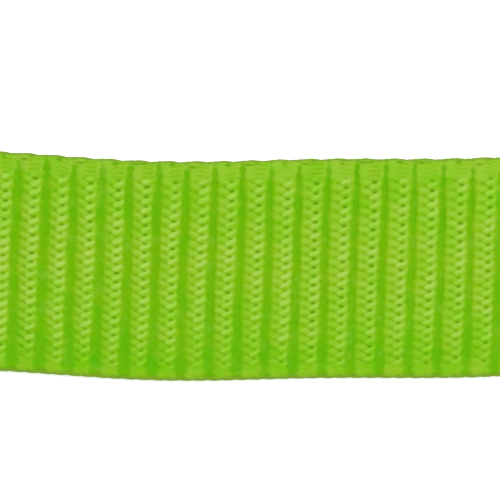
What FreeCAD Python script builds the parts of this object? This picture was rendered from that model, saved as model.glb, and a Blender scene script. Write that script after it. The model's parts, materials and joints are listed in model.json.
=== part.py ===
import FreeCAD, Part

import math
import operator
import os

import Sketcher

# A flat eye-and-eye web sling, laid out straight on a flat surface.
# X runs along the sling, Y across the webbing, Z up. The origin is the middle of the sling,
# on the surface that it lies on. End b is at +X, and end a is end b turned half round Z.
# The webbing is one woven length, cut here at its flex lines into stiff stretches.

V = FreeCAD.Vector

# Driving dimensions, in millimetres. Each "reach" is a distance from the sling's middle.
DIMENSIONS = {
    # webbing: width, thickness over the ribs, roundness of its selvedges
    "web_width": 30.0,
    "web_thick": 3.0,
    "web_edge": 1.2,
    # inner bearing point of the eye, throat of the eye, cut end of the tail, flex line
    "bearing_reach": 250.0,
    "throat_reach": 152.0,
    "tail_reach": 82.0,
    "flex_reach": 64.0,
    # eye: radius inside the lining, bend where the upper leg lifts off, run before it,
    # and how far apart the two plies already are there
    "bearing_radius": 12.0,
    "throat_radius": 60.0,
    "throat_run": 4.0,
    "throat_parting": 0.3,
    "lining_thick": 2.0,
    "lining_width": 27.0,
    "lining_edge": 0.8,
    "lining_leg": 26.0,
    # half of the gap left at a flex line, in one ply and in two
    "ply_gap": 1.1,
    "stack_gap": 2.0,
    # sewn rows: width, how far they stand proud, and how far they reach down
    "row_width": 0.8,
    "row_proud": 0.4,
    "row_depth": 5.0,
    # splice: spacing of its lengthwise rows, where they start and stop, gap of its tack rows
    "row_pitch": 5.4,
    "splice_start": 102.0,
    "splice_stop": 147.0,
    "tack_gap": 3.0,
    # lining: distance of its two rows from the middle, how deep they reach from its face,
    # and how far they are sunk into it
    "lining_row_reach": 10.5,
    "lining_row_depth": 3.4,
    "lining_row_sink": 0.1,
    # identification tag: sewn root, fold, loose flap and the box of thread in the root
    "tag_width": 25.0,
    "tag_thick": 0.8,
    "tag_root": 8.0,
    "tag_flap": 46.0,
    "tag_corner": 2.5,
    "tag_fold_reach": 93.0,
    "tag_gap": 0.7,
    "tag_lift": 0.8,
    "tag_seam_margin": 1.6,
    "tag_seam_depth": 2.0,
}
ROWS_EACH_SIDE = 2

doc = FreeCAD.newDocument("web_sling")
sheet = doc.addObject("Spreadsheet::Sheet", "dims")
for line, (alias, number) in enumerate(DIMENSIONS.items(), start=1):
    sheet.set(f"A{line}", alias)
    sheet.set(f"B{line}", str(number))
    sheet.setAlias(f"B{line}", alias)
doc.recompute()

OPERATIONS = {"+": operator.add, "-": operator.sub, "*": operator.mul, "/": operator.truediv}
parts = []


class Size:
    """A number, kept with the expression over the sheet's cells that gives it."""

    def __init__(self, number, text):
        self.number = float(number)
        self.text = text

    def __add__(self, other):
        return combined(self, "+", other)

    def __sub__(self, other):
        return combined(self, "-", other)

    def __mul__(self, other):
        return combined(self, "*", other)

    def __truediv__(self, other):
        return combined(self, "/", other)

    def __neg__(self):
        return combined(self, "*", -1)


def combined(left, sign, right):
    """The size that an operation on a size, and a size or a plain number, gives."""
    if not isinstance(right, Size):
        right = Size(right, f"({right})")
    number = OPERATIONS[sign](left.number, right.number)
    return Size(number, f"({left.text} {sign} {right.text})")


def dim(alias):
    """The size in the sheet's cell of that alias."""
    return Size(sheet.get(alias), f"dims.{alias}")


def hypotenuse(a, b):
    return Size(math.hypot(a.number, b.number), f"hypot({a.text}; {b.text})")


def arcsine(ratio):
    return Size(math.degrees(math.asin(ratio.number)), f"asin({ratio.text})")


def arctangent(rise, run):
    degrees = math.degrees(math.atan2(rise.number, run.number))
    return Size(degrees, f"atan({rise.text} / {run.text})")


def place(piece, label, end):
    """Label a sub-part, put it at its end of the sling, and list it for export."""
    turn = 180 if end == "a" else 0
    piece.Label = label
    piece.Placement = FreeCAD.Placement(V(0, 0, 0), FreeCAD.Rotation(V(0, 0, 1), turn))
    parts.append(piece)


def new_body(label, end="b"):
    body = doc.addObject("PartDesign::Body", label)
    place(body, label, end)
    return body


def new_sketch(body, name, role, offset=None):
    """A sketch on one of the body's own origin planes, moved along that plane's normal."""
    sketch = body.newObject("Sketcher::SketchObject", name)
    plane = next(item for item in body.Origin.OriginFeatures if item.Role == role)
    sketch.AttachmentSupport = [(plane, "")]
    sketch.MapMode = "FlatFace"
    if offset is not None:
        sketch.setExpression("AttachmentOffset.Base.z", offset.text)
    return sketch


def constrain(sketch, kind, where, size):
    """Add a constraint that carries a size, bound to the sheet."""
    number = math.radians(size.number) if kind == "Angle" else size.number
    index = sketch.addConstraint(Sketcher.Constraint(kind, *where, number))
    sketch.setExpression(f"Constraints[{index}]", size.text)


def draw_rounded_box(sketch, low_x, low_y, width, height, radius):
    """A rectangle with rounded corners: its lower left corner, its size and its radius."""
    x0, y0, r = low_x.number, low_y.number, radius.number
    x1, y1 = x0 + width.number, y0 + height.number
    sides = [
        ((x0 + r, y0), (x1 - r, y0), (x1 - r, y0 + r)),
        ((x1, y0 + r), (x1, y1 - r), (x1 - r, y1 - r)),
        ((x1 - r, y1), (x0 + r, y1), (x0 + r, y1 - r)),
        ((x0, y1 - r), (x0, y0 + r), (x0 + r, y0 + r)),
    ]
    lines, arcs = [], []
    for side, (start, stop, centre) in enumerate(sides):
        lines.append(sketch.addGeometry(Part.LineSegment(V(*start, 0), V(*stop, 0))))
        circle = Part.Circle(V(*centre, 0), V(0, 0, 1), r)
        turn = (side - 1) * math.pi / 2
        arcs.append(sketch.addGeometry(Part.ArcOfCircle(circle, turn, turn + math.pi / 2)))
    for side in range(4):
        direction = "Vertical" if side % 2 else "Horizontal"
        sketch.addConstraint(Sketcher.Constraint(direction, lines[side]))
        sketch.addConstraint(Sketcher.Constraint("Tangent", lines[side], 2, arcs[side], 1))
        after = lines[(side + 1) % 4]
        sketch.addConstraint(Sketcher.Constraint("Tangent", arcs[side], 2, after, 1))
    for arc in arcs[1:]:
        sketch.addConstraint(Sketcher.Constraint("Equal", arcs[0], arc))
    constrain(sketch, "Radius", (arcs[0],), radius)
    constrain(sketch, "DistanceX", (-1, 1, lines[3], 1), low_x)
    constrain(sketch, "DistanceY", (-1, 1, lines[0], 1), low_y)
    constrain(sketch, "DistanceX", (lines[3], 1, lines[1], 1), width)
    constrain(sketch, "DistanceY", (lines[0], 1, lines[2], 1), height)


def draw_webbing_section(sketch, low, width, thick, edge):
    """The section of a strap, square to its length, centred across the sling."""
    draw_rounded_box(sketch, -width / 2, low, width, thick, edge)


# The eye, in the plane of X and Z, drawn along the middle of the webbing's thickness.
ply = dim("web_thick")
bearing_middle_x = dim("bearing_reach") - dim("bearing_radius")
bearing_middle_z = ply + dim("lining_thick") + dim("bearing_radius")
eye_radius = dim("bearing_radius") + dim("lining_thick") + ply / 2
eye_start = dim("throat_reach") + dim("stack_gap")
throat_x = eye_start + dim("throat_run")
upper_run_z = ply * 1.5 + dim("throat_parting")
throat_z = upper_run_z + dim("throat_radius")
span_x = bearing_middle_x - throat_x
span_z = throat_z - bearing_middle_z
# The upper leg is the line that touches both the bearing bend and the throat's bend.
touching = (eye_radius + dim("throat_radius")) / hypotenuse(span_x, span_z)
leg_slope = arcsine(touching) - arctangent(span_z, span_x)


def across_slope(centre, distance):
    """The point at a distance from a centre, square to the upper leg."""
    slope = math.radians(leg_slope.number)
    x = centre[0].number - distance * math.sin(slope)
    return V(x, centre[1].number + distance * math.cos(slope), 0)


def arc(centre, radius, start_degrees, stop_degrees):
    circle = Part.Circle(V(centre[0].number, centre[1].number, 0), V(0, 0, 1), radius.number)
    return Part.ArcOfCircle(circle, math.radians(start_degrees), math.radians(stop_degrees))


def draw_eye_path(sketch):
    """Lower leg, bearing bend, upper leg, throat bend and the run onto the splice."""
    bearing = (bearing_middle_x, bearing_middle_z)
    throat = (throat_x, throat_z)
    low, high = ply / 2, upper_run_z
    slope = leg_slope.number
    lower_line = Part.LineSegment(
        V(eye_start.number, low.number, 0), V(bearing_middle_x.number, low.number, 0)
    )
    upper_line = Part.LineSegment(
        across_slope(throat, -dim("throat_radius").number),
        across_slope(bearing, eye_radius.number),
    )
    run_line = Part.LineSegment(
        V(eye_start.number, high.number, 0), V(throat_x.number, high.number, 0)
    )
    lower = sketch.addGeometry(lower_line)
    bend = sketch.addGeometry(arc(bearing, eye_radius, -90, 90 + slope))
    upper = sketch.addGeometry(upper_line)
    lift = sketch.addGeometry(arc(throat, dim("throat_radius"), -90, -90 + slope))
    run = sketch.addGeometry(run_line)
    sketch.addConstraint(Sketcher.Constraint("Tangent", lower, 2, bend, 1))
    sketch.addConstraint(Sketcher.Constraint("Tangent", bend, 2, upper, 2))
    sketch.addConstraint(Sketcher.Constraint("Tangent", upper, 1, lift, 2))
    sketch.addConstraint(Sketcher.Constraint("Tangent", lift, 1, run, 2))
    sketch.addConstraint(Sketcher.Constraint("Horizontal", lower))
    sketch.addConstraint(Sketcher.Constraint("Horizontal", run))
    constrain(sketch, "DistanceX", (-1, 1, lower, 1), eye_start)
    constrain(sketch, "DistanceY", (-1, 1, lower, 1), low)
    constrain(sketch, "DistanceX", (-1, 1, lower, 2), bearing_middle_x)
    constrain(sketch, "Radius", (bend,), eye_radius)
    constrain(sketch, "Radius", (lift,), dim("throat_radius"))
    constrain(sketch, "DistanceX", (-1, 1, run, 1), eye_start)
    constrain(sketch, "DistanceY", (-1, 1, run, 1), high)
    constrain(sketch, "DistanceX", (-1, 1, run, 2), throat_x)


def draw_lining_path(sketch, radius):
    """The bearing bend at a radius about its middle, with a straight leg at each end."""
    bearing = (bearing_middle_x, bearing_middle_z)
    height = bearing_middle_z - radius
    start = bearing_middle_x - dim("lining_leg")
    slope = math.radians(leg_slope.number)
    leg = dim("lining_leg").number
    top = across_slope(bearing, radius.number)
    foot = top - V(leg * math.cos(slope), leg * math.sin(slope), 0)
    lower_line = Part.LineSegment(
        V(start.number, height.number, 0), V(bearing_middle_x.number, height.number, 0)
    )
    lower = sketch.addGeometry(lower_line)
    bend = sketch.addGeometry(arc(bearing, radius, -90, 90 + leg_slope.number))
    upper = sketch.addGeometry(Part.LineSegment(foot, top))
    sketch.addConstraint(Sketcher.Constraint("Tangent", lower, 2, bend, 1))
    sketch.addConstraint(Sketcher.Constraint("Tangent", bend, 2, upper, 2))
    sketch.addConstraint(Sketcher.Constraint("Horizontal", lower))
    constrain(sketch, "DistanceX", (-1, 1, lower, 1), start)
    constrain(sketch, "DistanceY", (-1, 1, lower, 1), height)
    constrain(sketch, "DistanceX", (-1, 1, lower, 2), bearing_middle_x)
    constrain(sketch, "Radius", (bend,), radius)
    constrain(sketch, "Distance", (upper,), dim("lining_leg"))
    constrain(sketch, "Angle", (upper,), leg_slope)


def sweep(body, section, path):
    pipe = body.newObject("PartDesign::AdditivePipe", "sweep")
    pipe.Profile = section
    pipe.Spine = (path, [])
    section.Visibility = False
    path.Visibility = False
    return pipe


def make_flat_webbing(label, end, start, stop, low):
    """A straight stretch of webbing from one distance along the sling to another."""
    body = new_body(label, end)
    section = new_sketch(body, "section", "YZ_Plane", start)
    draw_webbing_section(section, low, dim("web_width"), ply, dim("web_edge"))
    pad = body.newObject("PartDesign::Pad", "stretch")
    pad.Profile = section
    pad.setExpression("Length", (stop - start).text)


def make_eye_webbing(label, end):
    body = new_body(label, end)
    section = new_sketch(body, "section", "YZ_Plane", eye_start)
    draw_webbing_section(section, ply * 0, dim("web_width"), ply, dim("web_edge"))
    path = new_sketch(body, "path", "XZ_Plane")
    draw_eye_path(path)
    sweep(body, section, path)


def make_eye_lining(label, end):
    body = new_body(label, end)
    start = bearing_middle_x - dim("lining_leg")
    section = new_sketch(body, "section", "YZ_Plane", start)
    width, thick = dim("lining_width"), dim("lining_thick")
    draw_webbing_section(section, ply, width, thick, dim("lining_edge"))
    path = new_sketch(body, "path", "XZ_Plane")
    draw_lining_path(path, dim("bearing_radius") + thick / 2)
    sweep(body, section, path)


def make_lining_stitching(label, end):
    """Two rows of thread that go round the bearing bend, through lining and webbing."""
    body = new_body(label, end)
    body.AllowCompound = True
    start = bearing_middle_x - dim("lining_leg")
    row_height = dim("lining_row_depth") - dim("lining_row_sink")
    low = ply + dim("lining_thick") - dim("lining_row_depth")
    section = new_sketch(body, "section", "YZ_Plane", start)
    side = dim("lining_row_reach") - dim("row_width") / 2
    draw_rounded_box(section, side, low, dim("row_width"), row_height, dim("row_width") / 4)
    path = new_sketch(body, "path", "XZ_Plane")
    draw_lining_path(path, bearing_middle_z - low - row_height / 2)
    row = sweep(body, section, path)
    doc.recompute()
    rows = body.newObject("PartDesign::Mirrored", "both_rows")
    rows.Originals = [row]
    plane = next(item for item in body.Origin.OriginFeatures if item.Role == "XZ_Plane")
    rows.MirrorPlane = (plane, [""])
    body.Tip = rows


def row_box(name, low, size):
    """A straight sewn row as a box: its lowest corner and its size, in X, Y and Z."""
    box = doc.addObject("Part::Box", name)
    for side, extent in zip(("Length", "Width", "Height"), size):
        box.setExpression(side, extent.text)
    for axis, distance in zip("xyz", low):
        box.setExpression(f"Placement.Base.{axis}", distance.text)
    return box


def make_splice_stitching(label, end):
    """Lengthwise rows through both plies, joined by two tack rows across each end."""
    width = dim("row_width")
    low = ply * 2 + dim("row_proud") - dim("row_depth")
    start, stop = dim("splice_start"), dim("splice_stop")
    outer = dim("row_pitch") * ROWS_EACH_SIDE
    rows = []
    for place_across in range(-ROWS_EACH_SIDE, ROWS_EACH_SIDE + 1):
        side = dim("row_pitch") * place_across - width / 2
        rows.append(row_box("row", (start, side, low), (stop - start, width, dim("row_depth"))))
    for from_end in (0, 1):
        for place_along in (start + dim("tack_gap") * from_end,
                            stop - width - dim("tack_gap") * from_end):
            corner = (place_along, -outer - width / 2, low)
            size = (width, outer * 2 + width, dim("row_depth"))
            rows.append(row_box("tack", corner, size))
    seam = doc.addObject("Part::MultiFuse", label)
    seam.Shapes = rows
    place(seam, label, end)


def make_tag():
    """The tag of end b: its root lies sewn on the tail, and its flap lies over the splice."""
    thick, width = dim("tag_thick"), dim("tag_width")
    root_stop = dim("tag_fold_reach") - dim("tag_gap")
    root_start = root_stop - dim("tag_root")
    root = doc.addObject("Part::Box", "label_root")
    root.setExpression("Length", dim("tag_root").text)
    root.setExpression("Width", width.text)
    root.setExpression("Height", thick.text)
    place(root, "label_root", "b")
    root.setExpression("Placement.Base.x", root_start.text)
    root.setExpression("Placement.Base.y", (-width / 2).text)
    root.setExpression("Placement.Base.z", (ply * 2).text)

    flap = new_body("label_flap")
    outline = new_sketch(flap, "outline", "XY_Plane", ply * 2 + dim("tag_lift"))
    flap_start = dim("tag_fold_reach") + dim("tag_gap")
    draw_rounded_box(
        outline, flap_start, -width / 2, dim("tag_flap"), width, dim("tag_corner")
    )
    pad = flap.newObject("PartDesign::Pad", "sheet")
    pad.Profile = outline
    pad.setExpression("Length", thick.text)

    margin, row = dim("tag_seam_margin"), dim("row_width")
    low = ply * 2 - dim("tag_seam_depth")
    height = dim("tag_seam_depth") + thick + dim("row_proud") / 2
    outer = row_box(
        "seam_outside",
        (root_start + margin, -width / 2 + margin, low),
        (dim("tag_root") - margin * 2, width - margin * 2, height),
    )
    inset = margin + row
    inner = row_box(
        "seam_inside",
        (root_start + inset, -width / 2 + inset, low - row),
        (dim("tag_root") - inset * 2, width - inset * 2, height + row * 2),
    )
    seam = doc.addObject("Part::Cut", "label_stitching")
    seam.Base = outer
    seam.Tool = inner
    place(seam, "label_stitching", "b")


flex, throat_cut = dim("flex_reach"), dim("throat_reach") - dim("stack_gap")
middle_reach = flex - dim("ply_gap")
make_flat_webbing("body_webbing", "b", -middle_reach, middle_reach, ply * 0)
for end in "ab":
    make_flat_webbing(f"body_webbing_{end}", end, flex + dim("ply_gap"), throat_cut, ply * 0)
    make_flat_webbing(f"tail_{end}", end, dim("tail_reach"), throat_cut, ply)
    make_eye_webbing(f"eye_webbing_{end}", end)
    make_eye_lining(f"eye_lining_{end}", end)
    make_splice_stitching(f"splice_stitching_{end}", end)
    make_lining_stitching(f"lining_stitching_{end}", end)
make_tag()
doc.recompute()

for item in doc.Objects:
    troubles = {"Invalid", "Error"} & set(item.State)
    if troubles:
        raise RuntimeError(f"{item.Label} did not compute: {sorted(troubles)}")
for part in parts:
    if part.Shape.isNull() or not part.Shape.isValid() or not part.Shape.Solids:
        raise RuntimeError(f"{part.Label} has no valid solid")

os.makedirs("parts", exist_ok=True)
for part in parts:
    part.Shape.exportStep(os.path.join("parts", f"{part.Label}.step"))
    box = part.Shape.optimalBoundingBox(True, False)
    print(
        f"{part.Label}: {len(part.Shape.Solids)} solid, {part.Shape.Volume:.0f} mm3,"
        f" X {box.XMin:.1f} to {box.XMax:.1f}, Y {box.YMin:.1f} to {box.YMax:.1f},"
        f" Z {box.ZMin:.1f} to {box.ZMax:.1f}"
    )
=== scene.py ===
import json
import math

import bpy
import numpy as np
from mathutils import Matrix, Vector


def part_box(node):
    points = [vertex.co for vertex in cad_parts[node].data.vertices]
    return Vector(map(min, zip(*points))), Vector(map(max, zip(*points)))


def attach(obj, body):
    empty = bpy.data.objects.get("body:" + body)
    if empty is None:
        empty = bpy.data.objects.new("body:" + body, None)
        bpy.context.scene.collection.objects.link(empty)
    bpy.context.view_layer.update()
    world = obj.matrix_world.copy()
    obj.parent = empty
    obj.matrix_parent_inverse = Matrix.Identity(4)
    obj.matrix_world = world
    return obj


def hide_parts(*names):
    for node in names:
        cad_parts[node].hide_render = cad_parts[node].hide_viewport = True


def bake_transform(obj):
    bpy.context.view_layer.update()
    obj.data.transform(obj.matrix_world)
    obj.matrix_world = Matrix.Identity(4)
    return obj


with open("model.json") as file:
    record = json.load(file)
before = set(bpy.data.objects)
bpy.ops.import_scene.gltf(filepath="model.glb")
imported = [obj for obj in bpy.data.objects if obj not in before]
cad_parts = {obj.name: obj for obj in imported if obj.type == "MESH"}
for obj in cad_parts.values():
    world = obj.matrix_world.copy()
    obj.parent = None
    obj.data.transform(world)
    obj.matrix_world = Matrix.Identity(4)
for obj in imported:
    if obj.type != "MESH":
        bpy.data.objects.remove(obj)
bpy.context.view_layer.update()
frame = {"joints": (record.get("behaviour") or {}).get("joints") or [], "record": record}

# A lime-green web sling laid out straight on a white floor. Lengths here are in millimetres,
# measured from the sling's middle, and are turned into metres where meshes are made.
MM = 0.001


def box_mm(node):
    low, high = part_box(node)
    return np.array(low) / MM, np.array(high) / MM


# What the frame says about the webbing and the eyes (end b; end a is turned half round Z).
body_low, body_high = box_mm("body_webbing")
WIDTH = body_high[1] - body_low[1]
THICK = body_high[2] - body_low[2]
mounts = {mount["name"]: mount for mount in frame["record"]["mounts"]}
joints = {joint["name"]: joint for joint in frame["joints"]}
BEARING_X, _, BEARING_Z = np.array(mounts["eye_b_bearing"]["pos_m"]) / MM
BEARING_R = mounts["eye_b_bearing"]["dims"]["r_mm"]
LINING = BEARING_Z - BEARING_R - THICK
TAIL_START = box_mm("tail_b")[0][0]

# The weave. A rib is one step of the weft along the sling, and a row is one step of the warp
# yarns across it. Places in a rib are shares of it, counted from the valley before it.
# The numbers given to smooth() are such shares where it is given u, ribs along the sling where
# it is given u_total or rib, and millimetres across the sling where it is given v.
RIB = 3.86
FIRST_VALLEY = -1.43
RIB_LEAN = 0.036
ROW = 1.21
RIB_STEP = 0.45
FIRST_ROW = -0.042
ROW_WAVE = (9, 0.05)
ROW_SLIP = 0.6
CROWD_FROM = 2
CROWDING = 0.0046
EDGE_REACH = 0.9
VALLEY_DEPTH = 0.25
LOBE_HEIGHT = 0.17
PIT_DEPTH = 0.18
NOTCH_DEPTH = 0.11
# A yarn's leaf is widest at far and closes in a nose at tip; half is its reach to each side, in rows.
LEFT_LEAF = {"far": 0.26, "tip": 0.60, "half": 0.58, "roundness": 0.42}
RIGHT_LEAF = {"far": 0.70, "tip": 0.34, "half": 0.58, "roundness": 0.55}
LEFT_PIVOT, LEFT_SLANT, LEFT_SLANT_LOSS = 0.43, 0.75, 0.45
RIGHT_PIVOT, RIGHT_SLANT, RIGHT_STRAIGHT = 0.62, 1.4, 0.84
# Gaps between yarns: where in a rib each lies, how its row slopes there, and its size in ribs
# along the sling and in rows across it. A seam runs from each weak gap to a strong one.
# Each gap sinks the face and is also painted with shade.
STRONG_GAP, STRONG_SLOPE, STRONG_SIZE = 0.625, 0.35, (0.095, 0.13)
WEAK_GAP, WEAK_SLOPE, WEAK_SIZE = 0.335, -0.5, (0.09, 0.14)
WEAK_ROW = 0.48
WEAK_SHARE, SEAM_SHARE, SEAM_TALL = 0.56, 0.48, 0.10
# The rib's flanks, which scallop round the yarns and flare towards the selvedges.
LEFT_FLANK, LEFT_FLANK_TURN, LEFT_FLANK_WAVE = 0.31, 0.004, (34, -0.11, 0)
RIGHT_FLANK, RIGHT_FLANK_TURN = 0.71, 0.003
FLARE = 0.07
SCALLOP = 0.022
VALLEY_LOBES = 0.72
# The selvedges, where the herringbone of the middle stops and finer yarns lie closer.
HERRINGBONE = (-13.1, 12.2)
FINE_YARN = 0.64
FINE_SLANT, FINE_SLANT_FAR = -0.35, 2.6
FINE_WAVES = ((0.7, 0.16, 0), (0.33, 0.07, 2), (5.3, 0.4, 1))
FINE_BASE, FINE_HEIGHT = 0.80, 0.14
LOOP_PLACE = WIDTH / 2 - 0.75
LOOP_DENTS = ((0.8, 0.20, 0.17, 0.24), (0.55, 0.48, 0.10, 0.18))
# How strongly a highlight is painted along each yarn.
LEFT_SHINE, LEFT_SHINE_GAIN, LEFT_SHINE_TALL = 0.44, 0.06, 0.34
RIGHT_SHINE, RIGHT_SHINE_LOSS = 1.16, 0.23
LIFT_SHINE = 0.6

rng = np.random.RandomState(11)
RIBS_KEPT, ROWS_KEPT = 400, 60
lobe_shift = rng.normal(0, 0.045, (RIBS_KEPT, ROWS_KEPT, 2))
lobe_lift = rng.normal(0, 0.22, (RIBS_KEPT, ROWS_KEPT, 2))
rib_shift = rng.normal(0, 0.04, RIBS_KEPT)
rib_depth = rng.normal(0, 0.05, RIBS_KEPT)


def smooth(low, high, x):
    t = np.clip((x - low) / (high - low), 0, 1)
    return t * t * (3 - 2 * t)


def ripple(x, *waves):
    """A sum of sines, each given as (wavelength, height, phase)."""
    return sum(height * np.sin(2 * math.pi * x / length + phase) for length, height, phase in waves)


def lobe(u, off, far, tip, half, roundness):
    """The rise of a leaf-shaped yarn that is widest at u = far and closes in a nose at tip."""
    nose = np.clip((u - far) / (tip - far), 0, 1)
    wide = half * np.sqrt(1 - nose**2) + 1e-6
    rise = np.clip(1 - (off / wide) ** 2, 0, 1) ** roundness
    return rise * np.sqrt(1 - nose**3)


def nearest(place):
    """A row number and how far, in rows, a place is from that row's middle."""
    row = np.round(place).astype(int)
    return row, place - row


def spot(x, y, wide, tall):
    return np.exp(-((x / wide) ** 2) - (y / tall) ** 2)


def row_place(u_total, v, side):
    """The row, with its fraction, at a place on one face."""
    rib = np.floor(u_total).astype(int)
    crowded = np.clip(v - CROWD_FROM, 0, None) ** 2
    row = v / ROW - CROWDING * crowded + RIB_STEP * rib + FIRST_ROW
    row = row + rib_shift[rib % RIBS_KEPT] + ripple(u_total, (*ROW_WAVE, side))
    return row - ROW_SLIP * smooth(-2, -10, rib)


def yarn_leaf(u, place, at, side, leaf):
    """The rise of the leaf nearest to a place, how far off its middle that is, and its lift."""
    row, off = nearest(place)
    kept = (at, row % ROWS_KEPT, side)
    off = off - lobe_shift[kept]
    lift = lobe_lift[kept]
    return lobe(u, off, **leaf) * (1 + lift), off, lift


def yarn_gaps(u, row, strength):
    """Gaps: a deep one where a left yarn dives, a shallow one where a right yarn comes up, and
    the seam that runs down from each shallow gap to the deep one beside it."""
    strong_off = nearest(row - STRONG_SLOPE * (u - STRONG_GAP))[1]
    weak_off = nearest(row - WEAK_ROW - WEAK_SLOPE * (u - WEAK_GAP))[1]
    strong = spot(u - STRONG_GAP, strong_off, *STRONG_SIZE) * strength
    weak = spot(u - WEAK_GAP, weak_off, *WEAK_SIZE)
    along = (u - WEAK_GAP) / (STRONG_GAP - WEAK_GAP)
    seam_off = nearest(row - WEAK_ROW * (1 - along))[1]
    seam = spot(0, seam_off, 1, SEAM_TALL) * smooth(-0.2, 0.3, along) * smooth(1.15, 0.9, along)
    # this value sinks the face and also paints shade into the gaps
    return np.maximum(strong, np.maximum(WEAK_SHARE * weak, SEAM_SHARE * seam))


def rib_rise(u_total, u, v, left_off):
    """The rib's own roundness, from 0 in a valley to 1 on the crest, which leans in some places."""
    flare = FLARE * smooth(-7, -13, v) - FLARE * smooth(9, 13, v)
    left_flank = LEFT_FLANK + ripple(u_total, LEFT_FLANK_WAVE) - LEFT_FLANK_TURN * v + flare
    right_flank = RIGHT_FLANK + RIGHT_FLANK_TURN * v - flare
    scallop = SCALLOP * np.cos(2 * math.pi * left_off)
    return smooth(0, left_flank, u + scallop) * smooth(1, right_flank, u - scallop)


def fine_yarns(u_total, u, v, at):
    """The height of the finer yarns of the selvedges, which slant one way on each."""
    slant = np.where(v > 0, FINE_SLANT, FINE_SLANT_FAR) * u + ripple(u_total, *FINE_WAVES)
    fine = 0.5 + 0.5 * np.cos(2 * math.pi * (v / FINE_YARN + slant) + 9 * rib_shift[at])
    return 1 - (1 - fine) * smooth(0.25, 0.5, u) * smooth(0.90, 0.75, u) * (0.8 + 3 * rib_depth[at])


def weft_loops(rib, u, v, at):
    """The loops of the weft along one selvedge, each over two ribs."""
    loop_v = v - LOOP_PLACE - 6 * rib_shift[at]
    loops = 0
    for turn, (depth, place, wide, tall) in enumerate(LOOP_DENTS):
        loops = loops + np.where(rib % 2 == turn, depth * spot(u - place, loop_v, wide, tall), 0)
    return loops


def painted_yarn_shine(u_total, u, left_off, left_lift, right_off, right_lift):
    """The highlight painted along the middle of each yarn's leaf, as a share of the highlight colour.
    """
    across_view = smooth(-9, 9, u_total)
    left = spot(0, left_off, 1, LEFT_SHINE_TALL)
    left = left * smooth(0.12, 0.30, u + 0.06 * across_view) * smooth(0.62, 0.44, u)
    left = left * (1 + LIFT_SHINE * left_lift) * (LEFT_SHINE + LEFT_SHINE_GAIN * across_view)
    spread = 0.29 - 0.03 * across_view
    spread = spread + (0.02 + 0.20 * smooth(-4, 6, u_total)) * smooth(0.60, 0.80, u)
    right = np.exp(-((right_off / spread) ** 2)) * smooth(0.38, 0.52, u) * smooth(0.94, 0.68, u)
    right = right * (1 + LIFT_SHINE * right_lift) * (RIGHT_SHINE - RIGHT_SHINE_LOSS * across_view)
    return np.maximum(left, right)


def weave(u_total, v, side):
    """How far the woven face lies below its crests, and what its material needs to know.

    u_total counts ribs along the sling and v is the place across it. side 0 is the face that
    is up in the body and side 1 the other. Gives the drop, the share of the way down into a
    valley, which the material paints with shade, how deep a gap between yarns is, which also
    sets the painted shade in it, the highlight painted on a yarn, and the place across its own yarn."""
    rib = np.floor(u_total).astype(int)
    u = u_total - rib
    at = rib % RIBS_KEPT
    valley_at = np.round(u_total).astype(int) % RIBS_KEPT
    row = row_place(u_total, v, side)
    # left yarns come out of the valley, slant down and dive at the strong gaps
    slant = LEFT_SLANT - LEFT_SLANT_LOSS * smooth(-6, 4, u_total)
    left, left_off, left_lift = yarn_leaf(u, row - slant * (LEFT_PIVOT - u), at, side, LEFT_LEAF)
    # right yarns come up at the weak gaps, slant up and go down into the next valley
    slant = RIGHT_PIVOT + RIGHT_SLANT * (np.clip(u, 0, RIGHT_STRAIGHT) - RIGHT_PIVOT)
    next_rib = (at + 1) % RIBS_KEPT
    right, right_off, right_lift = yarn_leaf(u, row - slant, next_rib, side, RIGHT_LEAF)
    strength = 0.82 + 0.2 * smooth(-7, 7, u_total) + 0.012 * v + 1.5 * rib_depth[at]
    gap = yarn_gaps(u, row, strength + 0.8 * left_lift)
    rise = rib_rise(u_total, u, v, left_off)
    in_valley = 1 - smooth(0.0, 0.5, rise)
    # selvedges: the gaps stop, and finer yarns lie close together
    selvedge = smooth(HERRINGBONE[1] - 0.4, HERRINGBONE[1] + 0.4, v)
    selvedge = selvedge + smooth(HERRINGBONE[0] + 0.4, HERRINGBONE[0] - 0.4, v)
    fade = WIDTH / 2 - 0.85 + 8 * rib_shift[valley_at]
    edge = smooth(fade - 0.7, fade + 0.6, v) + smooth(WIDTH / 2 - 0.35, WIDTH / 2, -v)
    fine = fine_yarns(u_total, u, v, at)
    lobes = np.maximum(left, right) * (1 - in_valley) + VALLEY_LOBES * in_valley
    lobes = lobes * (1 - selvedge) + (FINE_BASE + FINE_HEIGHT * fine) * selvedge
    gap = gap * (1 - selvedge) * (1 - in_valley)
    # the weft loops and the lines between the fine yarns of the upper selvedge are painted with shade
    # too
    gap = gap + weft_loops(rib, u, v, at) + 0.34 * (1 - fine) * selvedge * (v > 0)
    notch = smooth(0.60, 0.70, u) * smooth(1.0, 0.94, u) * (1 + 4 * rib_shift[at])
    notch = NOTCH_DEPTH * notch * edge * (v > 0)
    drop = VALLEY_DEPTH * (1 + rib_depth[valley_at]) * (1 - rise) * (1 - 0.92 * edge)
    drop = drop + LOBE_HEIGHT * (1 - lobes) * (1 - 0.7 * edge) + PIT_DEPTH * gap + notch
    if side == 1:
        drop = np.maximum(drop, 0)
    # painted highlight along the yarns, weaker towards the lower selvedge, with a fainter painted
    # highlight on the fine selvedge yarns
    painted_shine = painted_yarn_shine(u_total, u, left_off, left_lift, right_off, right_lift)
    painted_shine = painted_shine * (1 - 0.30 * smooth(-7, -13, v))
    painted_shine = painted_shine * (1 - selvedge) + (np.where(v > 0, 0.08, 0.0) + 0.30 * fine) * selvedge
    # the painted valley shade fades out near the edges
    rise = rise + (1 - rise) * 0.8 * edge
    yarn_off = np.where(right > left, right_off + 0.5, left_off)
    return drop, 1 - rise, gap, painted_shine, yarn_off


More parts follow.
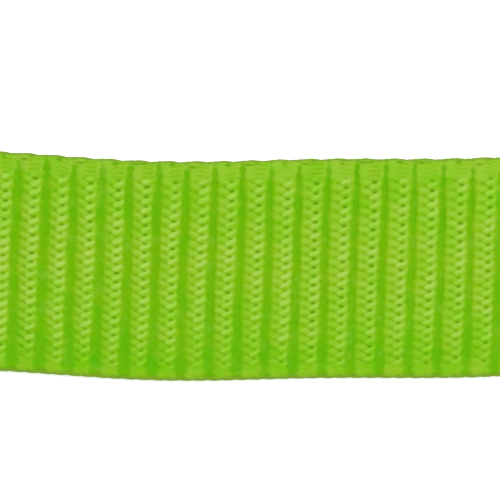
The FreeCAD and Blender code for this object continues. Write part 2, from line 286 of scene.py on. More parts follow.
# The path of the webbing's middle plane in X and Z, for end b: along the floor, round the
# bearing bend, back down the upper leg and onto the splice.
EYE_R = BEARING_R + LINING + THICK / 2
THROAT_R = 60.0
THROAT_X = box_mm("eye_webbing_b")[0][0] + 4.0
PLY_GAP = 0.1
TAIL_Z = THICK * 1.5 + PLY_GAP
throat_rise = TAIL_Z + THROAT_R - BEARING_Z
throat_span = BEARING_X - THROAT_X
LEG_SLOPE = math.asin((EYE_R + THROAT_R) / math.hypot(throat_span, throat_rise)) - math.atan2(
    throat_rise, throat_span
)
BEND_TURN = math.pi + LEG_SLOPE
leg_start = np.array([BEARING_X, BEARING_Z]) + EYE_R * np.array(
    [-math.sin(LEG_SLOPE), math.cos(LEG_SLOPE)]
)
leg_stop = np.array([THROAT_X, TAIL_Z + THROAT_R]) + THROAT_R * np.array(
    [math.sin(LEG_SLOPE), -math.cos(LEG_SLOPE)]
)
LEG_LENGTH = float(np.linalg.norm(leg_start - leg_stop))
LEG_AT = BEARING_X + EYE_R * BEND_TURN
LIFT_AT = LEG_AT + LEG_LENGTH
RUN_AT = LIFT_AT + THROAT_R * LEG_SLOPE
BAND_END = RUN_AT + THROAT_X - TAIL_START


def eye_route(s, radius):
    """A tape round the eye on this radius: X, Z and heading at distances s from the bend."""
    turn = np.clip(s / radius, 0, BEND_TURN)
    leg = np.clip(s - radius * BEND_TURN, 0, None)
    x = BEARING_X + np.minimum(s, 0) + radius * np.sin(turn) - leg * math.cos(LEG_SLOPE)
    z = BEARING_Z - radius * np.cos(turn) - leg * math.sin(LEG_SLOPE)
    return x, z, turn


def webbing_route(s):
    """The webbing's middle plane: X, Z and heading at distances s from the sling's middle."""
    end = np.where(s < 0, -1.0, 1.0)
    s = np.abs(s)
    lift = np.clip((s - LIFT_AT) / THROAT_R, 0, LEG_SLOPE)
    run = np.clip(s - RUN_AT, 0, None)
    x, z, turn = eye_route(np.minimum(s, LIFT_AT) - BEARING_X, EYE_R)
    x = x - THROAT_R * (math.sin(LEG_SLOPE) - np.sin(LEG_SLOPE - lift)) - run
    z = z - THROAT_R * (np.cos(LEG_SLOPE - lift) - math.cos(LEG_SLOPE))
    return end * x, z, end * (turn - lift)


BOW_HEIGHT, BOW_LENGTH, BOW_MIDDLE = 1.05, 150, 3
BOW_RIPPLE = (46, -0.24, 3.35)
STRAIGHT_FROM, BOWED_TO = 190, 110
RIB_WAVES = ((23, 0.05, 0.4), (8.7, 0.035, 2.0))
EASE_B, EASE_A = 0.53, 0.22


def bow(x):
    """How far the sling lies aside from a straight line, as laid out by hand."""
    aside = BOW_HEIGHT * (1 - np.cos(2 * math.pi * (x - BOW_MIDDLE) / BOW_LENGTH))
    return smooth(STRAIGHT_FROM, BOWED_TO, np.abs(x)) * (aside + ripple(x, BOW_RIPPLE))


def band_place(u_total, v):
    """The distance along the band of a place given in ribs and across the webbing."""
    wander = ripple(v + 4.0 * u_total, *RIB_WAVES)
    # on both sides of the middle the ribs sit a little nearer to end b, which dies out further on
    eased = EASE_B * (smooth(2, 9.5, u_total) - smooth(12, 30, u_total))
    eased = eased + EASE_A * (smooth(0, -9, u_total) - smooth(-12, -30, u_total))
    return FIRST_VALLEY + RIB * u_total + RIB_LEAN * v + wander + eased


def section_loop(width, thick, steps, reach=None):
    """Points round a tape's section, whose sides are half round or flatter half ellipses.

    Gives the middle of each point's arc across, its half height, its outward direction, and
    the arc's reach across and up, which are zero on the faces."""
    top_steps, low_steps, edge_steps = steps
    reach = thick / 2 if reach is None else reach
    flat = width / 2 - reach
    top = np.linspace(flat, -flat, top_steps, endpoint=False)
    low = np.linspace(-flat, flat, low_steps, endpoint=False)
    edge = np.linspace(0, math.pi, edge_steps, endpoint=False) + math.pi / 2
    v = np.concatenate([top, np.full(edge_steps, -flat), low, np.full(edge_steps, flat)])
    height = np.concatenate([top * 0 + thick / 2, edge * 0, low * 0 - thick / 2, edge * 0])
    turn = np.concatenate([top * 0 + math.pi / 2, edge, low * 0 - math.pi / 2, edge + math.pi])
    on_edge = np.concatenate([top * 0, edge * 0 + 1, low * 0, edge * 0 + 1])
    arc = on_edge * np.stack([reach * np.cos(turn), thick / 2 * np.sin(turn)])
    return v, height, turn, arc


def lay_out(x, y, z):
    """Corners in metres, with the bow of the sling as it lies."""
    return np.stack([x, y + bow(x), z], -1).reshape(-1, 3) * MM


def add_mesh(name, corners, faces, material, attributes=()):
    """A smooth mesh object, with values stored on its corners for the material."""
    mesh = bpy.data.meshes.new(name)
    mesh.from_pydata(corners, [], faces)
    for key, values in attributes:
        values = np.asarray(values, np.float32)
        kind, field = ("FLOAT_VECTOR", "vector") if values.shape[-1] == 3 else ("FLOAT", "value")
        mesh.attributes.new(key, kind, "POINT").data.foreach_set(field, values.ravel())
    mesh.materials.append(material)
    mesh.shade_smooth()
    obj = bpy.data.objects.new(name, mesh)
    bpy.context.scene.collection.objects.link(obj)
    return obj


def ring_faces(rings, loop, first=0):
    """The faces of a closed tube made of rings of corners, with a flat face at each end."""
    ring = np.arange(loop)
    after = (ring + 1) % loop
    start = first + np.arange(rings - 1)[:, None] * loop
    quads = np.stack([start + ring, start + after, start + loop + after, start + loop + ring], -1)
    last = first + (rings - 1) * loop
    caps = [(first + ring[::-1]).tolist(), (last + ring).tolist()]
    return quads.reshape(-1, 4).tolist() + caps


def tape(name, route, s, loop, drop, material, attributes):
    """A closed tape along a route, its faces lowered by drop."""
    v, height, turn, arc = loop
    x, z, heading = route(s)
    across = v + arc[0] - drop * np.cos(turn)
    lift = height + arc[1] - drop * np.sin(turn)
    corners = lay_out(x - lift * np.sin(heading), across, z + lift * np.cos(heading))
    obj = add_mesh(name, corners, ring_faces(len(s), len(v)), material, attributes)
    ends = np.zeros(len(obj.data.edges) * 2, int)
    obj.data.edges.foreach_get("vertices", ends)
    ends = ends.reshape(-1, 2)
    sharp = (ends < len(v)).all(1) | (ends >= len(corners) - len(v)).all(1)
    obj.data.attributes.new("sharp_edge", "BOOLEAN", "EDGE").data.foreach_set("value", sharp)
    return obj


# The weave is worked out this little before each place, so a valley belongs to the rib before it.
BEFORE_VALLEY = 1e-9
# Ridges round each side of the band, how deep the gaps between them are, and how much shade is
# painted into those gaps.
SIDE_YARNS = 6
SIDE_DEPTH, SIDE_GAP = 0.17, 0.9
# The cut ends are sealed with heat over this last stretch, which sinks a little.
SEAL_START, SEAL_STOP, SEAL_DROP = 1.3, 0.5, 0.30
# The two faces are kept this far apart in the noises of their material.
YARN_FACES, PLACE_FACES = 37.0, 9.0


def band_warmth(v):
    """How much yellower the webbing is at a place across it. Its middle and its rims are."""
    warmth = 0.13 * spot(v - 1, 0, 5, 1) - 0.11 * smooth(-8, -12.5, v) - 0.04
    return warmth + 0.16 * smooth(-13.2, -14.4, v) + 0.06 * smooth(11.5, 14, v)


def webbing(name, ribs, per_rib, steps, material):
    """A stretch of the sling's webbing, from one valley to another or to its cut end."""
    loop = section_loop(WIDTH, THICK, steps, EDGE_REACH)
    v, height, turn, arc = loop
    v = v + arc[0]
    columns = int(round((ribs[1] - ribs[0]) * per_rib)) + 1
    u_grid, v_grid = np.meshgrid(np.linspace(ribs[0], ribs[1], columns), v, indexing="ij")
    share = np.where(height == 0, smooth(-1, 1, -np.sin(turn)), (height < 0) * 1.0)
    faces = [weave(u_grid - BEFORE_VALLEY, v_grid, side) for side in (0, 1)]
    drop, valley, gap, painted_shine, off = [a * (1 - share) + b * share for a, b in zip(*faces)]
    s = band_place(u_grid, v_grid)
    # the sides of the band: yarns that run along it, held by the turns of the weft
    on_side = np.abs(np.cos(turn)) * (height == 0)
    from_edge = turn - math.pi
    ridge = 0.5 - 0.5 * np.cos(SIDE_YARNS * from_edge)
    turns = (0.5 + 0.5 * np.cos(2 * math.pi * (2 * u_grid + 0.25 * from_edge))) ** 2
    side_gap = on_side * np.maximum(ridge, turns)
    drop = drop + SIDE_DEPTH * side_gap * (1 - 0.6 * on_side**8)
    # painted shade in the grooves round the sides
    gap = gap + SIDE_GAP * side_gap
    seal = smooth(SEAL_START, SEAL_STOP, BAND_END - np.abs(s))
    drop = drop * (1 - 0.75 * seal) + SEAL_DROP * seal + share * pull_in(s, v_grid)
    # painted shade on the rounded edges of the band, which turn away from the light
    rim_shade_mask = smooth(WIDTH / 2 - 0.55, WIDTH / 2 - 0.1, np.abs(v_grid))
    values = {
        "valley": valley,
        "gap": gap,
        "painted_shine": painted_shine,
        "seal": seal,
        "rim_shade_mask": rim_shade_mask,
        "warmth": band_warmth(v_grid),
    }
    attributes = [(key, (value * np.ones_like(s))[..., None]) for key, value in values.items()]
    face = share * np.ones_like(s)
    attributes.append(("yarn", np.stack([s, off, YARN_FACES * face], -1)))
    attributes.append(("place", np.stack([s, v_grid * np.ones_like(s), PLACE_FACES * face], -1)))
    piece = tape(name, webbing_route, s, loop, drop, material, attributes)
    return piece


# The splice: rows of stitches along it, and two short rows across it at each end.
splice_low, splice_high = box_mm("splice_stitching_b")
SPLICE_START, SPLICE_STOP = splice_low[0], splice_high[0]
SEAM_INSET = 0.4
SEAM_REACH = splice_high[1] - SEAM_INSET
SEAM_PLACES = np.linspace(-SEAM_REACH, SEAM_REACH, 5)
TACK_GAP = 3.0
TACK_PLACES = [SPLICE_START, SPLICE_START + TACK_GAP, SPLICE_STOP - TACK_GAP, SPLICE_STOP]
SEAM_PULL, PULL_REACH = 0.32, 0.6


def pull_in(s, v):
    """How far the stitches draw in the outer face of the splice."""
    x = np.abs(webbing_route(s)[0])
    on_splice = smooth(SPLICE_START - 1, SPLICE_START, x) * smooth(SPLICE_STOP + 1, SPLICE_STOP, x)
    along = sum(np.exp(-(((v - place) / PULL_REACH) ** 2)) for place in SEAM_PLACES)
    across = sum(np.exp(-(((x - place) / PULL_REACH) ** 2)) for place in TACK_PLACES)
    across = across * smooth(SEAM_REACH + 1, SEAM_REACH, np.abs(v))
    return SEAM_PULL * np.clip(on_splice * along + across, 0, 1)


THREAD_R = 0.38
STITCH = 3.6
# How far the middle of a thread stands off the outer face of the webbing or the label.
THREAD_PROUD, LINING_PROUD_OUT = 0.05, 0.02
# Inside the eye the thread is sunk, and only this much of it stands off the lining.
LINING_PROUD_IN = 0.08
TUBE_SIDES, TUBE_RINGS = 8, 9
# Where in its pitch a stitch starts and how much of it the stitch fills, and, at its ends, how
# many radii it dives and what share of its radius it loses.
STITCH_START, STITCH_SHARE = 0.04, 0.92
DIVE, TAPER = 1.7, 0.28


def stitches(name, rows, radius, pitch, end, material):
    """Rows of stitches. A row is a route, its two ends along and across, and its height."""
    sides, rings = TUBE_SIDES, TUBE_RINGS
    turn = np.linspace(0, 2 * math.pi, sides, endpoint=False)
    share = np.linspace(0, 1, rings)
    arch = 1 - np.abs(2 * share - 1) ** 3
    corners, faces, places = [], [], []
    for route, (s_from, s_to), (y_from, y_to), lift in rows:
        length = math.hypot(s_to - s_from, y_to - y_from)
        count = max(1, round(length / pitch))
        side = math.copysign(1, lift)
        for stitch in range(count):
            at = (stitch + STITCH_START + STITCH_SHARE * share) / count
            x, z, heading = route(s_from + (s_to - s_from) * at)
            y = y_from + (y_to - y_from) * at
            size = radius * (1 - TAPER + TAPER * arch)
            rise = lift + side * (DIVE * radius * (arch - 1))
            rise = rise[:, None] + np.outer(size, np.sin(turn)) * side
            aside = np.outer(size, np.cos(turn))
            lean_s, lean_y = (y_to - y_from) / length, (s_from - s_to) / length
            along = aside * lean_s
            ring_x = x[:, None] + along * np.cos(heading)[:, None] - rise * np.sin(heading)[:, None]
            ring_z = z[:, None] + along * np.sin(heading)[:, None] + rise * np.cos(heading)[:, None]
            ring_y = y[:, None] + aside * lean_y
            tube = ring_faces(rings, sides, len(corners) * rings * sides)
            faces += [face[::-1] for face in tube] if side > 0 else tube
            corners.append(lay_out(end * ring_x, end * ring_y, ring_z))
            along_row = np.broadcast_to((at * length)[:, None], (rings, sides))
            around = np.broadcast_to(turn / (2 * math.pi), (rings, sides))
            places.append(np.stack([along_row, along_row * 0, around], -1).reshape(-1, 3))
    attributes = [("thread", np.concatenate(places))]
    obj = add_mesh(name, np.concatenate(corners), faces, material, attributes)
    return obj


def splice_rows():
    """The splice's seams, seen on the tail above and on the face below."""
    tail_from, tail_to = RUN_AT + THROAT_X - SPLICE_STOP, RUN_AT + THROAT_X - SPLICE_START
    on_top = -(THICK / 2 + THREAD_PROUD)
    below = -(THICK / 2 - THREAD_R)
    rows = []
    for y in SEAM_PLACES:
        rows.append((webbing_route, (tail_from, tail_to), (y, y), on_top))
        rows.append((webbing_route, (SPLICE_START, SPLICE_STOP), (y, y), below))
    for x in TACK_PLACES:
        tail_s = RUN_AT + THROAT_X - x
        rows.append((webbing_route, (tail_s, tail_s), (-SEAM_REACH, SEAM_REACH), on_top))
        rows.append((webbing_route, (x, x), (-SEAM_REACH, SEAM_REACH), below))
    return rows


LINING_R = BEARING_R + LINING / 2
LINING_LEG = 26.0
LINING_WIDTH = box_mm("eye_lining_b")[1][1] * 2
LINING_SEAM = 10.5
SEAM_END = 1
OFF_FLOOR = 4.0


def lining_route(s):
    return eye_route(s, LINING_R)


def lining_rows():
    """The two seams of the lining, on its own face and on the outer face of the eye."""
    inner = (SEAM_END - LINING_LEG, LINING_R * BEND_TURN + LINING_LEG - SEAM_END)
    inner_lift = LINING / 2 - THREAD_R + LINING_PROUD_IN
    outer_start, outer_stop = BEARING_X - LINING_LEG + SEAM_END, LEG_AT + LINING_LEG - SEAM_END
    # where the eye lies on the floor its threads are sunk level with the face
    off_floor = BEARING_X + OFF_FLOOR
    rows = []
    for y in (-LINING_SEAM, LINING_SEAM):
        rows.append((lining_route, inner, (y, y), inner_lift))
        rows.append((webbing_route, (outer_start, off_floor), (y, y), -(THICK / 2 - THREAD_R)))
        rows.append((webbing_route, (off_floor, outer_stop), (y, y), -(THICK / 2 + LINING_PROUD_OUT)))
    return rows


LINING_RIB = 1.7
LINING_YARN = 0.9
LINING_DEPTH, LINING_OVER = 0.24, 0.03


def lining(name, end, material):
    """The tape sewn inside an eye: a finer, flatter plain weave."""
    per_rib, per_yarn, per_yarn_below, edge_steps = 6, 5, 3, 6
    yarns = round((LINING_WIDTH - LINING) / LINING_YARN)
    steps = (yarns * per_yarn, yarns * per_yarn_below, edge_steps)
    loop = section_loop(LINING_WIDTH, LINING, steps)
    v, height = loop[:2]
    ribs = round((LINING_R * BEND_TURN + 2 * LINING_LEG) / LINING_RIB)
    s = np.linspace(-LINING_LEG, LINING_R * BEND_TURN + LINING_LEG, ribs * per_rib + 1)
    s_grid, v_grid = np.meshgrid(s, v, indexing="ij")
    rib = (s_grid + LINING_LEG) / LINING_RIB
    yarn = (v_grid + 0.02 * np.sin(s_grid)) / LINING_YARN
    over = np.cos(math.pi * yarn) * np.cos(math.pi * rib)
    crossing = np.abs(np.sin(math.pi * rib)) ** 0.7 * np.abs(np.cos(math.pi * yarn)) ** 0.5
    drop = LINING_DEPTH * (1 - crossing) * np.where(height == 0, 0.4, 1)
    drop = drop + LINING_OVER * (1 + over)
    attributes = [
        ("groove", (1 - crossing)[..., None]),
        ("yarn", np.stack([s_grid, yarn, rib], -1)),
    ]
    piece = tape(name, lining_route, s_grid, loop, drop, material, attributes)
    if end < 0:
        turn_about(piece)
    return piece


label_low, label_high = box_mm("label_root")
flap_high = box_mm("label_flap")[1]
LABEL_START, LABEL_STOP = label_low[0], flap_high[0]
LABEL_WIDTH = label_high[1] * 2
LABEL_THICK = label_high[2] - label_low[2]
LABEL_CORNER = 2.5
LABEL_SUNK = 0.08
LABEL_COLUMNS, LABEL_STEPS = 150, (56, 56, 6)
# A line pressed into the flap, this far in from its border, which starts just past the fold.
LABEL_MARGIN, BORDER_REACH, BORDER_DEPTH = 2.2, 0.22, 0.07
BORDER_START = 1.2
# Where the label climbs from its root to its flap, measured from the fold.
CLIMB_START, CLIMB_STOP = -1.6, 2.2
# How far the flap's end curls up, how high it ripples, and how far its sides curl up.
CURL, FLAP_WAVE, DISH = 0.9, 0.25, 0.3
LABEL_THREAD_R, LABEL_STITCH = 0.26, 2.2
FOLD_X = joints["tag_lift"]["pos_m"][0] / MM


def label(material):
    """The blank label: sewn at its root, then lying over the splice with its end free."""
    v, height, turn, arc = section_loop(LABEL_WIDTH, LABEL_THICK, LABEL_STEPS)
    x = np.linspace(LABEL_START, LABEL_STOP, LABEL_COLUMNS)
    x_grid, v_grid = np.meshgrid(x, v, indexing="ij")
    past_corner = np.clip((x_grid - (LABEL_STOP - LABEL_CORNER)) / LABEL_CORNER, 0, 1)
    half = LABEL_WIDTH / 2
    narrowed = (half - LABEL_CORNER * (1 - np.sqrt(1 - past_corner**2))) / half
    # a little thinner than its solid, with a pressed border line round the flap
    to_side = half - np.abs(v_grid)
    to_end = np.minimum(x_grid - FOLD_X - BORDER_START, LABEL_STOP - x_grid)
    border = np.minimum(to_side, to_end)
    line = np.exp(-(((border - LABEL_MARGIN) / BORDER_REACH) ** 2)) * (border > 0)
    drop = LABEL_SUNK + BORDER_DEPTH * line
    across = (v_grid + arc[0] - drop * np.cos(turn)) * narrowed
    rise = smooth(FOLD_X + CLIMB_START, FOLD_X + CLIMB_STOP, x_grid)
    along = np.clip((x_grid - FOLD_X) / (LABEL_STOP - FOLD_X), 0, 1)
    middle = (label_low[2] + label_high[2]) / 2 + rise * (flap_high[2] - label_high[2])
    curl = CURL * along**3 + FLAP_WAVE * along * np.sin(5.0 * along)
    curl = curl + DISH * along * (v_grid / half) ** 2
    z = middle + curl + height + arc[1] - drop * np.sin(turn)
    corners = lay_out(x_grid, across, z)
    face = np.broadcast_to(np.sin(turn), x_grid.shape)
    attributes = [
        ("border", line[..., None]),
        ("cloth", np.stack([x_grid, v_grid, face], -1)),
    ]
    piece = add_mesh("label", corners, ring_faces(LABEL_COLUMNS, len(v)), material, attributes)
    return piece


def label_rows():
    """The seam that sews the label's root down: a narrow box of stitches."""
    low, high = box_mm("label_stitching")
    lift = -(label_high[2] - TAIL_Z + THREAD_PROUD)
    to_s = RUN_AT + THROAT_X
    reach = high[1] - SEAM_INSET
    near, far = to_s - low[0] - SEAM_INSET, to_s - high[0] + SEAM_INSET
    rows = []
    for s in (near, far):
        rows.append((webbing_route, (s, s), (-reach, reach), lift))
    for y in (-reach, reach):
        rows.append((webbing_route, (near, far), (y, y), lift))
    return rows


def turn_about(piece):
    """Turn a piece of end b half round Z to make it the same piece of end a."""
    for corner in piece.data.vertices:
        corner.co.x, corner.co.y = -corner.co.x, -corner.co.y


class Nodes:
    """A material's node tree, with short calls for making and joining its nodes."""

    def __init__(self, name):
        self.material = bpy.data.materials.new(name)
        self.material.use_nodes = True
        self.tree = self.material.node_tree
        self.shader = self.tree.nodes["Principled BSDF"]

    def new(self, kind, inputs=(), **settings):
        node = self.tree.nodes.new(kind)
        for key, setting in settings.items():
            setattr(node, key, setting)
        for key, source in dict(inputs).items():
            self.feed(node, key, source)
        return node

    def feed(self, node, key, source):
        if isinstance(source, bpy.types.NodeSocket):
            self.tree.links.new(source, node.inputs[key])
        else:
            node.inputs[key].default_value = source

    def value(self, name):
        return self.new("ShaderNodeAttribute", attribute_name=name).outputs["Fac"]

    def vector(self, name):
        return self.new("ShaderNodeAttribute", attribute_name=name).outputs["Vector"]

    def math(self, operation, a, b=0.0):
        return self.new("ShaderNodeMath", {0: a, 1: b}, operation=operation).outputs[0]

    def mix(self, share, a, b, blend="MIX"):
        node = self.new("ShaderNodeMix", data_type="RGBA", blend_type=blend)
        self.feed(node, 0, share)
        self.feed(node, 6, a)
        self.feed(node, 7, b)
        return node.outputs[2]

    def ramp(self, source, low, high, to_low=0.0, to_high=1.0):
        ends = {"Value": source, "From Min": low, "From Max": high}
        ends.update({"To Min": to_low, "To Max": to_high})
        node = self.new("ShaderNodeMapRange", ends, interpolation_type="SMOOTHSTEP")
        return node.outputs[0]

    def stretched(self, source, scale):
        return self.new("ShaderNodeMapping", {"Vector": source, "Scale": scale}).outputs[0]

    def noise(self, vector, scale, detail=2.0, roughness=0.5):
        inputs = {"Vector": vector, "Scale": scale, "Detail": detail, "Roughness": roughness}
        return self.new("ShaderNodeTexNoise", inputs).outputs[0]

    def bump(self, height, strength, distance, normal=None):
        inputs = {"Height": height, "Strength": strength, "Distance": distance}
        if normal is not None:
            inputs["Normal"] = normal
        return self.new("ShaderNodeBump", inputs).outputs[0]


def make_webbing_material():
    """Lime-green polyester, with a highlight painted along the yarns, painted shade and green bounce
    light in the valleys, painted shade in the gaps between yarns and painted shade along the edges.
    """
    mat = Nodes("webbing_lime")
    # the second colour on the next line is painted shade, with saturated green bounce light, for the
    # valleys between ribs
    crest, deep = (0.142, 0.314, 0.0030, 1), (0.091, 0.277, 0.0, 1)
    # the first colour on the next line is the colour of the highlight painted along the yarns
    light, gap_shade = (0.207, 0.389, 0.037, 1), (0.084, 0.224, 0.0, 1)
    # the second colour on the next line is painted shade for the band's edges
    worn_yarn, rim_shade = (0.205, 0.325, 0.032, 1), (0.150, 0.225, 0.015, 1)
    melted = (0.055, 0.20, 0.004, 1)
    yarn, place = mat.vector("yarn"), mat.vector("place")
    # painted highlight: each yarn is mixed towards the highlight colour along its leaf
    colour = mat.mix(mat.ramp(mat.value("painted_shine"), 0.0, 1.0), crest, light)
    # painted valley shade, spread unevenly by a noise
    blotch = mat.ramp(mat.noise(place, 0.5, 3.0, 0.6), 0.3, 0.7, -0.20, 0.20)
    valley = mat.math("ADD", mat.value("valley"), blotch)
    colour = mat.mix(mat.ramp(valley, 0.15, 0.95), colour, deep)
    # painted shade in the gaps between yarns
    colour = mat.mix(mat.ramp(mat.value("gap"), 0.05, 0.9), colour, gap_shade)
    filaments = mat.noise(mat.stretched(yarn, (0.5, 9.0, 1.0)), 1.6, 3.0, 0.6)
    streak = mat.ramp(filaments, 0.25, 0.75, 0.862, 0.992)
    patches = mat.noise(place, 0.28, 3.0, 0.6)
    warmth = mat.math("ADD", mat.value("warmth"), mat.ramp(patches, 0.3, 0.7, -0.14, 0.14))
    red = mat.math("MULTIPLY", streak, mat.math("ADD", warmth, 1.0))
    blue = mat.math("MULTIPLY", streak, mat.math("ADD", mat.math("MULTIPLY", warmth, 3.0), 1.0))
    tone = mat.new("ShaderNodeCombineColor", {0: red, 1: streak, 2: blue}).outputs[0]
    colour = mat.mix(1.0, colour, tone, "MULTIPLY")
    worn = mat.ramp(mat.noise(place, 0.42, 3.0, 0.65), 0.50, 0.72, 0.0, 0.22)
    colour = mat.mix(worn, colour, worn_yarn)
    # painted shade along the edges of the band
    colour = mat.mix(mat.ramp(mat.value("rim_shade_mask"), 0.0, 1.0, 0.0, 0.6), colour, rim_shade)
    sealed = mat.ramp(mat.value("seal"), 0.2, 0.9)
    colour = mat.mix(sealed, colour, melted)
    mat.feed(mat.shader, "Base Color", colour)
    rough = mat.ramp(filaments, 0.2, 0.8, 0.50, 0.68)
    mat.feed(mat.shader, "Roughness", mat.math("SUBTRACT", rough, mat.math("MULTIPLY", sealed, 0.25)))
    mat.feed(mat.shader, "Normal", mat.bump(filaments, 0.3, 0.00005))
    mat.shader.inputs["Specular IOR Level"].default_value = 0.02
    return mat.material


FLOOR_SIZE = 3.0
WORLD_LIGHT = 1.3
KEY_PLACE = Vector((0.15, 0.15, 0.73))
KEY_SIZE, KEY_POWER = 0.35, 3.55


def make_floor_material():
    """Plain white, with a speckle too fine and faint to be seen as a pattern."""
    mat = Nodes("floor_white")
    white, whiter = (0.96, 0.96, 0.96, 1), (0.98, 0.98, 0.98, 1)
    speckle = mat.noise(mat.new("ShaderNodeTexCoord").outputs["Object"], 900.0, 2.0)
    mat.feed(mat.shader, "Base Color", mat.mix(speckle, white, whiter))
    mat.shader.inputs["Roughness"].default_value = 0.9
    mat.shader.inputs["Specular IOR Level"].default_value = 0.1
    return mat.material


def make_floor():
    half = FLOOR_SIZE / 2
    mesh = bpy.data.meshes.new("floor")
    corners = [(-half, -half, 0), (half, -half, 0), (half, half, 0), (-half, half, 0)]
    mesh.from_pydata(corners, [], [(0, 1, 2, 3)])
    mesh.materials.append(make_floor_material())
    floor = bpy.data.objects.new("floor", mesh)
    bpy.context.scene.collection.objects.link(floor)


def make_lights():
    """White light from all round, and one soft light above that gives the ribs their shade."""
    scene = bpy.context.scene
    scene.view_settings.view_transform = "Standard"
    scene.world = scene.world or bpy.data.worlds.new("world")
    scene.world.use_nodes = True
    background = scene.world.node_tree.nodes["Background"]
    background.inputs["Color"].default_value = (1.0, 1.0, 1.0, 1)
    background.inputs["Strength"].default_value = WORLD_LIGHT
    light = bpy.data.lights.new("key", "AREA")
    light.shape = "RECTANGLE"
    light.size = light.size_y = KEY_SIZE
    light.energy = KEY_POWER
    key = bpy.data.objects.new("key", light)
    key.location = KEY_PLACE
    key.rotation_euler = (-KEY_PLACE).to_track_quat("-Z", "Y").to_euler()
    key.visible_camera = False
    scene.collection.objects.link(key)


# What the camera sees: the length of band across the picture, and how far aside it looks.
VIEW_ACROSS = 68.0
VIEW_ASIDE = 2.78
CAMERA_HEIGHT = 600.0


def make_camera():
    """Straight down on the face of the body, with the band crossing the whole picture."""
    camera = bpy.data.cameras.new("camera")
    camera.sensor_width = 36.0
    camera.lens = camera.sensor_width * (CAMERA_HEIGHT - THICK) / VIEW_ACROSS
    obj = bpy.data.objects.new("camera", camera)
    obj.location = Vector((0, VIEW_ASIDE * MM, CAMERA_HEIGHT * MM))
    bpy.context.scene.collection.objects.link(obj)
    bpy.context.scene.camera = obj


def make_lining_material():
    """A darker green tape with finer, flatter yarns, and shade painted into the grooves between them.
    """
    mat = Nodes("lining_green")
    # painted shade in the grooves between yarns: the second colour on the next line is the shade
    # colour
    groove = mat.ramp(mat.value("groove"), 0.1, 0.9)
    crest, deep = (0.040, 0.16, 0.022, 1), (0.009, 0.052, 0.005, 1)
    colour = mat.mix(groove, crest, deep)
    yarn = mat.vector("yarn")
    filaments = mat.noise(mat.stretched(yarn, (0.6, 14.0, 1.0)), 1.5, 3.0, 0.6)
    streak = mat.ramp(filaments, 0.25, 0.75, 0.82, 1.15)
    grey = mat.new("ShaderNodeCombineColor", {0: streak, 1: streak, 2: streak}).outputs[0]
    mat.feed(mat.shader, "Base Color", mat.mix(1.0, colour, grey, "MULTIPLY"))
    mat.feed(mat.shader, "Roughness", mat.ramp(filaments, 0.2, 0.8, 0.5, 0.7))
    mat.feed(mat.shader, "Normal", mat.bump(filaments, 0.35, 0.00005))
    mat.shader.inputs["Specular IOR Level"].default_value = 0.35
    return mat.material


def make_thread_material():
    """Pale sewing thread, twisted from three plies, with shade painted between the plies."""
    mat = Nodes("thread_pale")
    between, crest, soiled = (0.27, 0.27, 0.22, 1), (0.56, 0.56, 0.50, 1), (0.36, 0.36, 0.31, 1)
    parts = mat.new("ShaderNodeSeparateXYZ", {0: mat.vector("thread")}).outputs
    plies = mat.math("ADD", mat.math("MULTIPLY", parts[0], 1.3), mat.math("MULTIPLY", parts[2], 3.0))
    twist = mat.math("ABSOLUTE", mat.math("SINE", mat.math("MULTIPLY", plies, math.pi)))
    twist = mat.math("POWER", twist, 0.5)
    fuzz = mat.noise(mat.stretched(mat.vector("thread"), (6.0, 1.0, 20.0)), 2.0, 3.0, 0.6)
    # painted shade between the plies of the twist, lighter on their crests
    colour = mat.mix(twist, between, crest)
    colour = mat.mix(mat.ramp(fuzz, 0.3, 0.8, 0.0, 0.25), colour, soiled)
    mat.feed(mat.shader, "Base Color", colour)
    mat.feed(mat.shader, "Roughness", mat.ramp(fuzz, 0.2, 0.8, 0.45, 0.65))
    normal = mat.bump(twist, 0.9, 0.00012)
    mat.feed(mat.shader, "Normal", mat.bump(fuzz, 0.3, 0.00004, normal))
    mat.shader.inputs["Specular IOR Level"].default_value = 0.4
    return mat.material


def make_label_material():
    """A blank blue label of coated woven polyester."""
    mat = Nodes("label_blue")
    blue, light_blue = (0.004, 0.045, 0.20, 1), (0.007, 0.062, 0.25, 1)
    weft_blue, border_blue = (0.002, 0.025, 0.12, 1), (0.002, 0.016, 0.075, 1)
    warp_step, weft_step = 0.42, 0.36
    cloth = mat.vector("cloth")
    parts = mat.new("ShaderNodeSeparateXYZ", {0: cloth}).outputs
    warp = mat.math("SINE", mat.math("MULTIPLY", parts[0], 2 * math.pi / warp_step))
    weft = mat.math("SINE", mat.math("MULTIPLY", parts[1], 2 * math.pi / weft_step))
    weave_height = mat.math("MULTIPLY", warp, weft)
    mottle = mat.noise(cloth, 0.35, 4.0, 0.6)
    colour = mat.mix(mat.ramp(mottle, 0.3, 0.7), blue, light_blue)
    colour = mat.mix(mat.ramp(weave_height, -1.0, 1.0, 0.0, 0.22), colour, weft_blue)
    border = mat.ramp(mat.value("border"), 0.2, 0.9, 0.0, 0.55)
    colour = mat.mix(border, colour, border_blue)
    mat.feed(mat.shader, "Base Color", colour)
    mat.feed(mat.shader, "Roughness", mat.ramp(mottle, 0.3, 0.7, 0.34, 0.5))
    normal = mat.bump(weave_height, 0.35, 0.00005)
    mat.feed(mat.shader, "Normal", mat.bump(mottle, 0.25, 0.0002, normal))
    mat.shader.inputs["Specular IOR Level"].default_value = 0.35
    return mat.material


MID_RIBS = (-9, 10)
SIDE_RIBS = 31
# How finely a stretch is made: rings to a rib, and steps across its faces and round its sides.
FINE = (21, (184, 60, 18))
PLAIN = (11, (92, 60, 14))
OUTER = (8, (66, 92, 14))


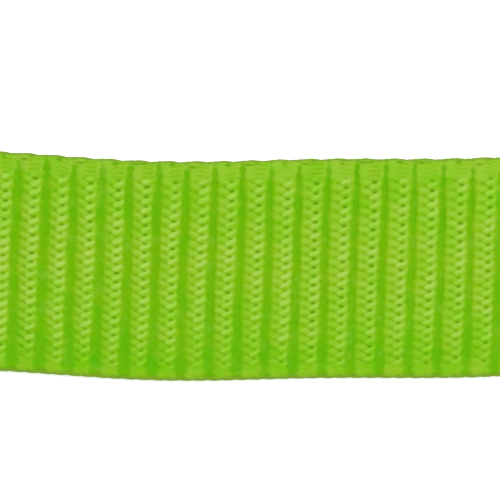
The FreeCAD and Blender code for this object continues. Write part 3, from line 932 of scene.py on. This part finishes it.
def make_webbing(material):
    """The one band of webbing, in five stretches that meet at valleys between ribs."""
    last_rib = (BAND_END - FIRST_VALLEY) / RIB
    first_rib = (-BAND_END - FIRST_VALLEY) / RIB
    stretches = [
        ("webbing_body", MID_RIBS, FINE),
        ("webbing_side_a", (1 - SIDE_RIBS, MID_RIBS[0]), PLAIN),
        ("webbing_side_b", (MID_RIBS[1], SIDE_RIBS), PLAIN),
        ("webbing_eye_a", (first_rib, 1 - SIDE_RIBS), OUTER),
        ("webbing_eye_b", (SIDE_RIBS, last_rib), OUTER),
    ]
    pieces = {}
    for name, ribs, detail in stretches:
        piece = webbing(name, ribs, *detail, material)
        pieces[name] = piece
    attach(pieces["webbing_body"], "body")
    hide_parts("body_webbing")
    for end, letter in ((-1, "a"), (1, "b")):
        side, eye = pieces["webbing_side_" + letter], pieces["webbing_eye_" + letter]
        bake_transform(side)
        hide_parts("body_webbing_" + letter)
        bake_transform(eye)
        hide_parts("eye_webbing_" + letter, "tail_" + letter)


def make_ends(thread_material, lining_material):
    """What is sewn to each end: the splice's stitches, the eye's lining and its seams."""
    for end, letter in ((-1, "a"), (1, "b")):
        thread = (THREAD_R, STITCH, end, thread_material)
        splice = stitches("splice_thread_" + letter, splice_rows(), *thread)
        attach(splice, "end_" + letter)
        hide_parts("splice_stitching_" + letter)
        tape_piece = lining("lining_" + letter, end, lining_material)
        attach(tape_piece, "eye_" + letter)
        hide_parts("eye_lining_" + letter)
        seams = stitches("lining_thread_" + letter, lining_rows(), *thread)
        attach(seams, "eye_" + letter)
        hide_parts("lining_stitching_" + letter)


def make_label(label_material, thread_material):
    """The label, and the seam at its root."""
    piece = label(label_material)
    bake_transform(piece)
    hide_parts("label_root", "label_flap")
    seam = stitches("label_thread", label_rows(), LABEL_THREAD_R, LABEL_STITCH, 1, thread_material)
    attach(seam, "end_b")
    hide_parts("label_stitching")


make_camera()
make_lights()
make_floor()
thread = make_thread_material()
make_webbing(make_webbing_material())
make_ends(thread, make_lining_material())
make_label(make_label_material(), thread)
